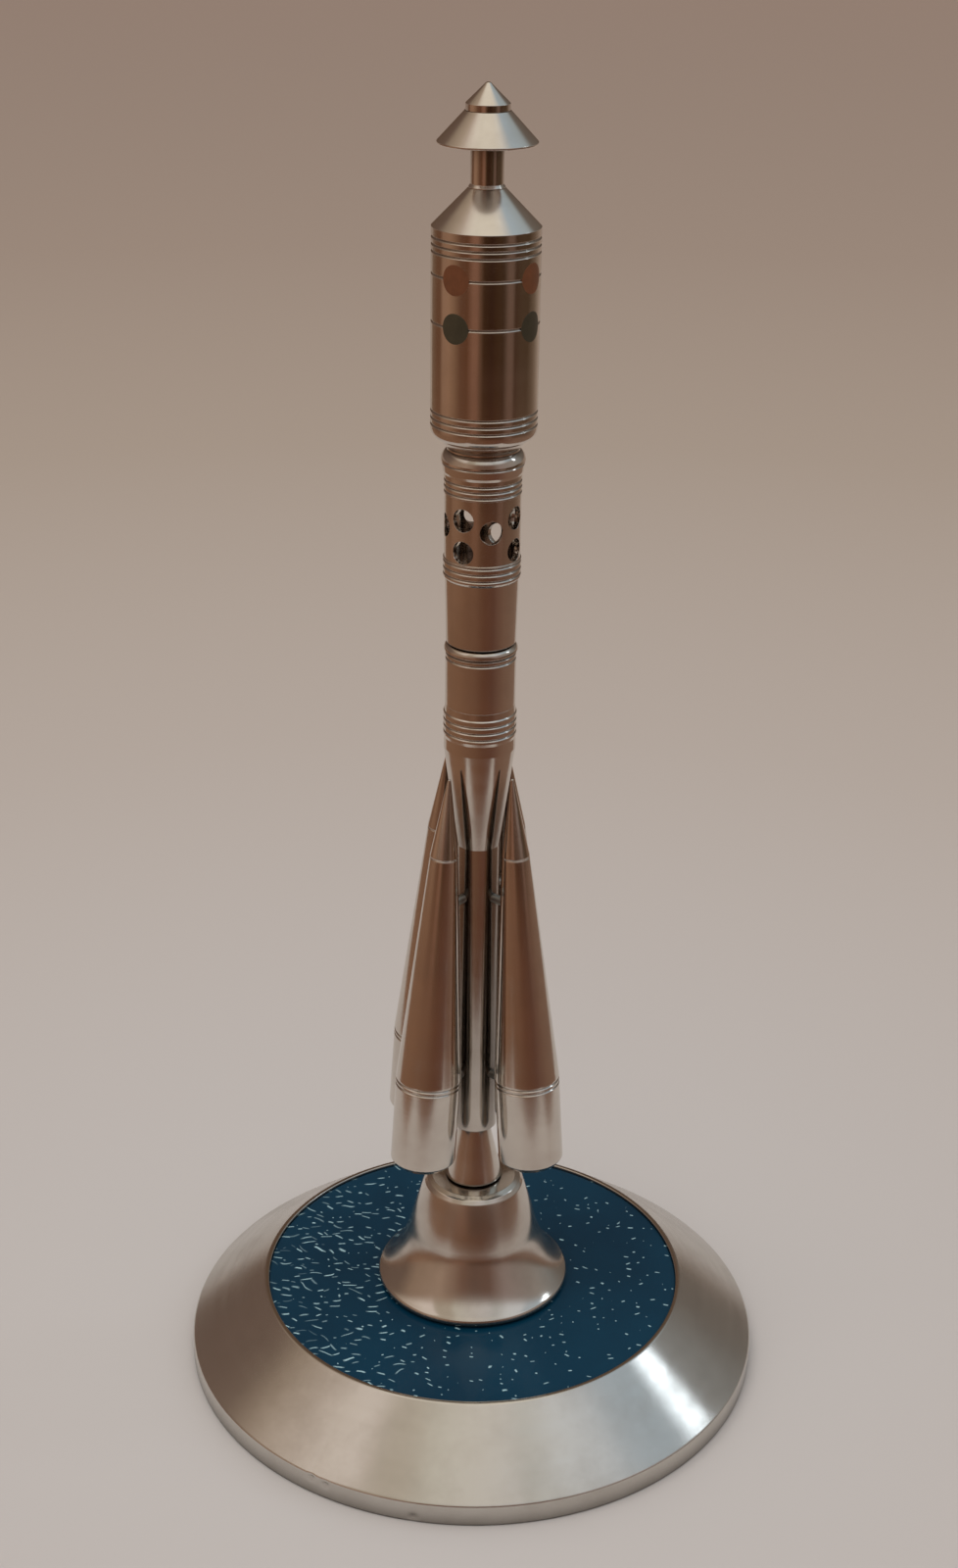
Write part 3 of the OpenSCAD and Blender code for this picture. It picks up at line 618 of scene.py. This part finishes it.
# ---- Boosters --------------------------------------------------------------------------------
# Four tapered boosters lean on the core, each turned in one piece: a straight skirt with two
# grooves, a long cone, and a pointed nose above one more groove. Two dowels hold each of them.

skirt_r = 7.1
skirt_l = 18.6
body_l = 53.2
nose_r = 3.0
nose_l = 17.4
tip_r = 0.35
chamfer = 0.9
lean = math.radians(4.94)
booster_foot_r = 16.85
booster_z = core_z - 1.3
nose_z = skirt_l + body_l
tip_z = nose_z + nose_l
booster_outline = [
    (0, -chamfer), (skirt_r - chamfer, -chamfer),
    *arc(skirt_r - 0.5, 0.35, 0.5, -45, 0, 5),
    *vees(skirt_r, skirt_l, 2, 1.0), (skirt_r, skirt_l + 1.6),
    (nose_r, nose_z - groove / 2), (nose_r - groove_depth / 2, nose_z),
    (nose_r, nose_z + groove / 2), *arc(0, tip_z - tip_r, tip_r, 10, 80, 5), (0, tip_z)]


def stood(turn):
    """Moves a booster from its own axis to its place: leaned in, moved out, turned round Z."""
    move = np.array(Matrix.Rotation(math.radians(turn), 4, "Z")
                    @ Matrix.Translation((0, -booster_foot_r, booster_z))
                    @ Matrix.Rotation(-lean, 4, "X"))
    return lambda p: p @ move[:3, :3].T + move[:3, 3]


for where, turn in {"front_right": 45, "rear_right": 135, "rear_left": 225,
                    "front_left": 315}.items():
    bright_stage(f"booster_{where}_turned", booster_outline, "rocket", [f"booster_{where}"],
                 place=stood(turn))


# ---- Interstage and upper stage --------------------------------------------------------------
# Two short turned bars. The lower ends in two fine grooves and a rounded shoulder; above the
# open joint the upper stage swells slightly. A stud screws them together.

inter_top = span("interstage")[2]
shoulder = 1.3
bead_r = inter_r + 0.3 - shoulder
fine_pitch = 1.15
bright_stage("interstage_turned", [
    (stud_r, core_top), (inter_r, core_top), *vees(inter_r, inter_top - 3.1, 2, fine_pitch),
    (inter_r, inter_top - shoulder - 0.3), *arc(bead_r, inter_top - shoulder, shoulder, -10, 84, 14),
    (bead_r, inter_top), (stud_r, inter_top)], "rocket", ["interstage"], closed=True)

upper_z = span("upper_stage")[1]
_, tube_z, collar_z = span("vented_tube")
tube_r = 7.7
upper_low_r = 7.2
upper_r = 7.5
bore_r = tube_r - 1.2
plug_r = bore_r - fit
plug_top = span("upper_stage")[2]
bright_stage("upper_stage_turned", [
    (0, upper_z + stud_hold), (stud_r, upper_z + stud_hold), (stud_r, upper_z),
    (upper_low_r - ease, upper_z), (upper_low_r, upper_z + ease), (upper_r, tube_z),
    (plug_r, tube_z), (plug_r, plug_top), (0, plug_top)], "upper", ["upper_stage"])


# ---- Vented tube -----------------------------------------------------------------------------
# A thin tube plugged at both ends, with a proud grooved band at its foot. Twelve round vents are
# drilled through the wall: four pairs one above the other, and four single ones between them.

vent_r = 2.35
vent_pair = (6.95, 13.6)
vent_single = 11.4
vent_turn = math.radians(-34)
tube_pitch = 1.35
tube_band_r = tube_r + 0.195
tube_band_top = 1.2 + 2.4 * tube_pitch
drilled_low = tube_band_top + 0.07
drilled_high = 16.7
columns = 24
vent_soft = 0.06


def drilled_cell(middle, centre, low, high, side_rows):
    """Grid (ring, k) around one vent, as (angle, height, radius). Each ray k runs from a point
    of the cell's border across the outer wall to the vent's edge, through the bore and back
    across the inner wall. On each wall a ring is (1 - s) x vent edge + s x border."""
    half = math.pi / 8
    left_right = np.linspace(-half, half, columns + 1)
    border = np.concatenate([
        np.stack([left_right[:-1], np.full(columns, low)], 1),
        np.stack([np.full(len(side_rows) - 1, half), side_rows[:-1]], 1),
        np.stack([left_right[:0:-1], np.full(columns, high)], 1),
        np.stack([np.full(len(side_rows) - 1, -half), side_rows[:0:-1]], 1)])
    t = np.arctan2(border[:, 1] - centre, border[:, 0] * tube_r)
    bend = np.radians([0, 30, 60, 90])
    edge_r = vent_r + vent_soft * (1 - np.cos(bend))
    sink = vent_soft * (1 - np.sin(bend))
    share = np.array([0, 0, 0, 0, 0.02, 0.1, 0.25, 0.5, 0.75, 1.0])
    flat = len(share) - len(bend)
    hole = np.concatenate([edge_r, np.full(flat, edge_r[-1])])
    outer = tube_r - np.concatenate([sink, np.zeros(flat)])
    inner = bore_r + np.concatenate([sink, np.zeros(flat)])
    hole, share = (np.concatenate([x[::-1], x])[:, None] for x in (hole, share))
    wall = np.concatenate([outer[::-1], inner])[:, None]
    angle = np.arcsin(hole * np.cos(t) / wall) * (1 - share) + border[:, 0] * share
    height = (centre + hole * np.sin(t)) * (1 - share) + border[:, 1] * share
    return np.stack([middle + angle, height, np.broadcast_to(wall, angle.shape)], axis=-1)


def cell_faces(grid, start, wrap):
    """Quads of a (rows, columns) grid whose vertices start at that index."""
    rows, count = grid.shape[:2]
    i, k = np.meshgrid(np.arange(rows - 1), np.arange(count if wrap else count - 1),
                       indexing="ij")
    a, b = start + i * count + k, start + i * count + (k + 1) % count
    return np.stack([a, b, b + count, a + count], axis=-1).reshape(-1, 4)


parting = sum(vent_pair) / 2
row_steps = columns // 2 + 1
low_rows = np.linspace(drilled_low, parting, row_steps)
high_rows = np.linspace(parting, drilled_high, row_steps)
both_rows = np.concatenate([low_rows, high_rows[1:]])
grids = []
for i in range(4):
    middle = vent_turn + i * math.pi / 2
    grids.append(drilled_cell(middle, vent_pair[0], drilled_low, parting, low_rows))
    grids.append(drilled_cell(middle, vent_pair[1], parting, drilled_high, high_rows))
    grids.append(drilled_cell(middle + math.pi / 4, vent_single, drilled_low, drilled_high,
                              both_rows))

turns = vent_turn - math.pi / 8 + np.arange(8 * columns) * math.pi / 4 / columns
tube_l = collar_z - tube_z
foot_section = eased([
    (bore_r, drilled_low), (bore_r, 0), (upper_r, 0), (tube_band_r, 1.2 - tube_pitch / 2),
    *vees(tube_band_r, 1.2, 3, tube_pitch), (tube_band_r, tube_band_top - 0.1),
    (tube_r, tube_band_top), (tube_r, drilled_low)], soft)
top_section = eased([(tube_r, drilled_high), (tube_r, tube_l), (bore_r, tube_l),
                     (bore_r, drilled_high)], soft)
for section in (foot_section, top_section):
    grids.append(np.stack([np.repeat(turns[None], len(section), 0),
                           np.repeat(section[:, 1:], len(turns), 1),
                           np.repeat(section[:, :1], len(turns), 1)], axis=-1))

starts = np.cumsum([0] + [g.shape[0] * g.shape[1] for g in grids])
points = np.concatenate([g.reshape(-1, 3) for g in grids])
faces = np.concatenate([cell_faces(g, s, True) for g, s in zip(grids, starts)])
angle, height, radius = points.T
tube_mesh = bpy.data.meshes.new("vented_tube_drilled")
tube_mesh.from_pydata(np.stack([radius * np.sin(angle), -radius * np.cos(angle),
                                tube_z + height], 1) / 1000, [], faces.tolist())
turn_and_height = np.stack([angle / (2 * math.pi), height / 100], 1)
layer = tube_mesh.uv_layers.new(name="turned")
corner_uv = turn_and_height[faces]
corner_uv[..., 0] -= np.round(corner_uv[..., 0] - corner_uv[:, :1, 0])
layer.data.foreach_set("uv", corner_uv.astype(np.float32).ravel())
welded = bmesh.new()
welded.from_mesh(tube_mesh)
bmesh.ops.remove_doubles(welded, verts=welded.verts, dist=1e-7)
bmesh.ops.recalc_face_normals(welded, faces=welded.faces)
welded.to_mesh(tube_mesh)
welded.free()
finished("vented_tube_drilled", tube_mesh, bright, "upper", ["vented_tube"])


# ---- Collar ----------------------------------------------------------------------------------
# The top plug of the tube: fine grooves at its foot, a step out to a bead, and a rounded top
# that narrows to the neck under the fairing.

collar_r, plug_z, collar_top = span("collar")
collar_foot_r = tube_r + 0.13
bead_z = collar_top - 2.3
throat_r = 7.3
bright_stage("collar_turned", [
    (0, plug_z), (plug_r, plug_z), (plug_r, collar_z), (collar_foot_r, collar_z),
    *vees(collar_foot_r, collar_z + fine_pitch / 2, 3, fine_pitch),
    (collar_foot_r, bead_z - 2.5), (collar_r - ease, bead_z - 1.9),
    (collar_r - ease / 2, bead_z - 0.5), (collar_r - ease, bead_z - 0.2),
    *curve((collar_r, bead_z), (collar_r, bead_z + 0.9), (throat_r + 0.7, collar_top - 0.5),
           (throat_r, collar_top), 14), (stud_r, collar_top), (stud_r, collar_top - stud_hold),
    (0, collar_top - stud_hold)], "upper", ["collar"])


# ---- Fairing ---------------------------------------------------------------------------------
# A thick bar with three grooves at its rim, three under its cone, and one more round each row
# of dots. Its stepped and rolled undercut meets the collar's neck.

fairing_r, fairing_z, stem_z = span("fairing")
rim_z = fairing_z + 4.5
cone_z = rim_z + 39
green_z = rim_z + 21.1
orange_z = green_z + 9.2
step_r = (fairing_r + throat_r) / 2 - 0.15
step_z = fairing_z + 2.25
pin_r = 1.53
top_r = 3.6
bright_stage("fairing_turned", [
    (0, fairing_z + stud_hold), (stud_r, fairing_z + stud_hold), (stud_r, fairing_z),
    (throat_r, fairing_z), (throat_r, fairing_z + ease), (step_r - ease / 2, step_z - ease / 2),
    (step_r - ease / 2, step_z),
    *curve((step_r, step_z), (fairing_r - 0.5, step_z + 0.35), (fairing_r, rim_z - 1),
           (fairing_r, rim_z + 0.3), 16),
    *vees(fairing_r, rim_z + 0.9, 3, tube_pitch), *vee(fairing_r, green_z),
    *vee(fairing_r, orange_z), *vees(fairing_r, cone_z - 1.8 - 2 * tube_pitch, 3, tube_pitch),
    (fairing_r, cone_z), (top_r, stem_z), (pin_r, stem_z), (pin_r, stem_z - stud_hold),
    (0, stem_z - stud_hold)], "nose", ["fairing"], around=256)


# ---- Enamelled dots --------------------------------------------------------------------------
# Eight round inlays, flush with the wall, filled with satin enamel: an orange ring above an
# olive-green one. The enamel is a little darker in cloudy patches.

def enamel(name, colour, edge_colour):
    """Air-dried satin enamel with a faint orange-peel skin, darker in cloudy patches."""
    material, tree = new_material(name)
    place = add(tree, "ShaderNodeTexCoord", {}, {})
    # Pooling is a millimetre or two wide, the skin's dimples about 0.4 mm
    pools = add(tree, "ShaderNodeTexNoise", {},
                {"Vector": place.outputs["Object"], "Scale": 500.0, "Detail": 2.0})
    skin = add(tree, "ShaderNodeTexNoise", {},
               {"Vector": place.outputs["Object"], "Scale": 2500.0, "Detail": 1.0})
    tint = add(tree, "ShaderNodeMix", {"data_type": "RGBA"},
               {"Factor": pools, 6: linear(colour), 7: linear(edge_colour)})
    bump = add(tree, "ShaderNodeBump", {},
               {"Height": skin, "Strength": 0.4, "Distance": 0.00003})
    shader = add(tree, "ShaderNodeBsdfPrincipled", {},
                 {"Base Color": tint.outputs["Result"], "Roughness": 0.42, "Normal": bump})
    add(tree, "ShaderNodeOutputMaterial", {}, {"Surface": shader})
    return material


orange = enamel("orange enamel", "#7e4a2c", "#623a20")
green = enamel("olive green enamel", "#45402f", "#353123")
dot_r = 2.95
dot_depth = 0.9
dot_turn = -36.5
proud = 0.02
dot_outline = eased([(0, -dot_depth), (dot_r, -dot_depth), (dot_r, proud),
                     *[(dot_r * (1 - i / 8), proud) for i in range(1, 8)], (0, proud)], 0.06)


def on_fairing(height, turn):
    """Bends a flat dot onto the fairing: (x, y, h) goes to (x, -(sqrt(R^2 - x^2) + h), y)."""
    c, s = math.cos(math.radians(turn)), math.sin(math.radians(turn))

    def bend(p):
        x, y = p[:, 0], -(np.sqrt(fairing_r ** 2 - p[:, 0] ** 2) + p[:, 2])
        return np.stack([c * x - s * y, s * x + c * y, height + p[:, 1]], 1)
    return bend


for i in range(4):
    for name, height, material in (("orange", orange_z, orange), ("green", green_z, green)):
        dot = lathe(f"{name}_dot_{i + 1}_inlaid", dot_outline, 64,
                    on_fairing(height, dot_turn + 90 * i))
        finished(f"{name}_dot_{i + 1}_inlaid", dot, material, "nose",
                 [f"{name}_dot_{i + 1}"])


# ---- Escape tower ----------------------------------------------------------------------------
# A plain stem with a small flange, a conical cap, and a cone-headed finial whose shank runs
# down through both into the fairing and clamps them.

stem_r = 3.2
flange_r, _, cap_z = span("stem")
bright_stage("stem_turned", [
    (pin_r, stem_z), (flange_r, stem_z), (flange_r, stem_z + 0.18), (stem_r, stem_z + 0.7),
    (stem_r, cap_z), (pin_r, cap_z)], "nose", ["stem"], closed=True, around=128)

cap_r, _, finial_z = span("cap")
cap_edge = 0.3
bright_stage("cap_turned", [
    (pin_r, cap_z), (cap_r - 3 * cap_edge, cap_z),
    *arc(cap_r - cap_edge, cap_z + cap_edge, cap_edge, -60, 50, 6), (4.4, finial_z),
    (pin_r, finial_z)], "nose", ["cap"], closed=True, around=224)

finial_r, shank_z, finial_top = span("finial")
finial_band = finial_z + 1.5
finial_tip = 0.9
bright_stage("finial_turned", [
    (0, shank_z), (1.5, shank_z), (1.5, finial_z), (finial_r, finial_z),
    (finial_r, finial_band - ease / 2), (finial_r - ease / 2, finial_band),
    *arc(0, finial_band + 3.6 - finial_tip, finial_tip, 35, 85, 7), (0, finial_top)],
    "nose", ["finial"], around=128)


# ---- Fasteners and felt ----------------------------------------------------------------------
# Plain CAD shapes that stay as they are: zinc-plated studs, dowels, screw and washer, which
# show only when the stages are unscrewed, and a felt ring glued under the base.

zinc, tree = new_material("zinc-plated steel")
place = add(tree, "ShaderNodeTexCoord", {}, {})
# Passivation clouds about 3 mm wide, and drawn-wire scratches 0.3 mm apart along the length
clouds = add(tree, "ShaderNodeTexNoise", {}, {"Vector": place.outputs["Object"], "Scale": 330.0,
                                             "Detail": 3.0})
drawn = add(tree, "ShaderNodeMapping", {},
            {"Vector": place.outputs["Object"], "Scale": (3000.0, 3000.0, 150.0)})
scratches = add(tree, "ShaderNodeTexNoise", {}, {"Vector": drawn, "Scale": 1.0, "Detail": 2.0})
plating = stops(add(tree, "ShaderNodeValToRGB", {}, {"Fac": clouds}),
                [(0.35, "#a9a8a2"), (0.65, "#c2c3c0")])
worn = add(tree, "ShaderNodeMapRange", {}, {"Value": scratches, "To Min": 0.25, "To Max": 0.45})
fine = add(tree, "ShaderNodeBump", {}, {"Height": scratches, "Strength": 0.5,
                                        "Distance": 0.00002})
zinc_shader = add(tree, "ShaderNodeBsdfPrincipled", {},
                  {"Base Color": plating.outputs["Color"], "Metallic": 1.0, "Roughness": worn,
                   "Normal": fine})
add(tree, "ShaderNodeOutputMaterial", {}, {"Surface": zinc_shader})

felt, tree = new_material("green wool felt")
place = add(tree, "ShaderNodeTexCoord", {}, {})
# Matted fibres: clumps about 2 mm wide with single fibres of 0.2 mm in them
clumps = add(tree, "ShaderNodeTexNoise", {}, {"Vector": place.outputs["Object"], "Scale": 500.0,
                                             "Detail": 6.0, "Roughness": 0.75})
wool = stops(add(tree, "ShaderNodeValToRGB", {}, {"Fac": clumps}),
             [(0.3, "#1c3a29"), (0.7, "#34583f")])
nap = add(tree, "ShaderNodeBump", {}, {"Height": clumps, "Strength": 0.8, "Distance": 0.0003})
felt_shader = add(tree, "ShaderNodeBsdfPrincipled", {},
                  {"Base Color": wool.outputs["Color"], "Roughness": 0.95, "Sheen Weight": 0.4,
                   "Normal": nap})
add(tree, "ShaderNodeOutputMaterial", {}, {"Surface": felt_shader})

plain_nodes = {"felt_pad": felt, "base_screw": zinc, "base_washer": zinc, "tail_stud": zinc,
               "upper_dowels": zinc, "lower_dowels": zinc, "stage_stud": zinc,
               "nose_stud": zinc}
for name, material in plain_nodes.items():
    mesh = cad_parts[name].data
    mesh.materials.clear()
    mesh.materials.append(material)
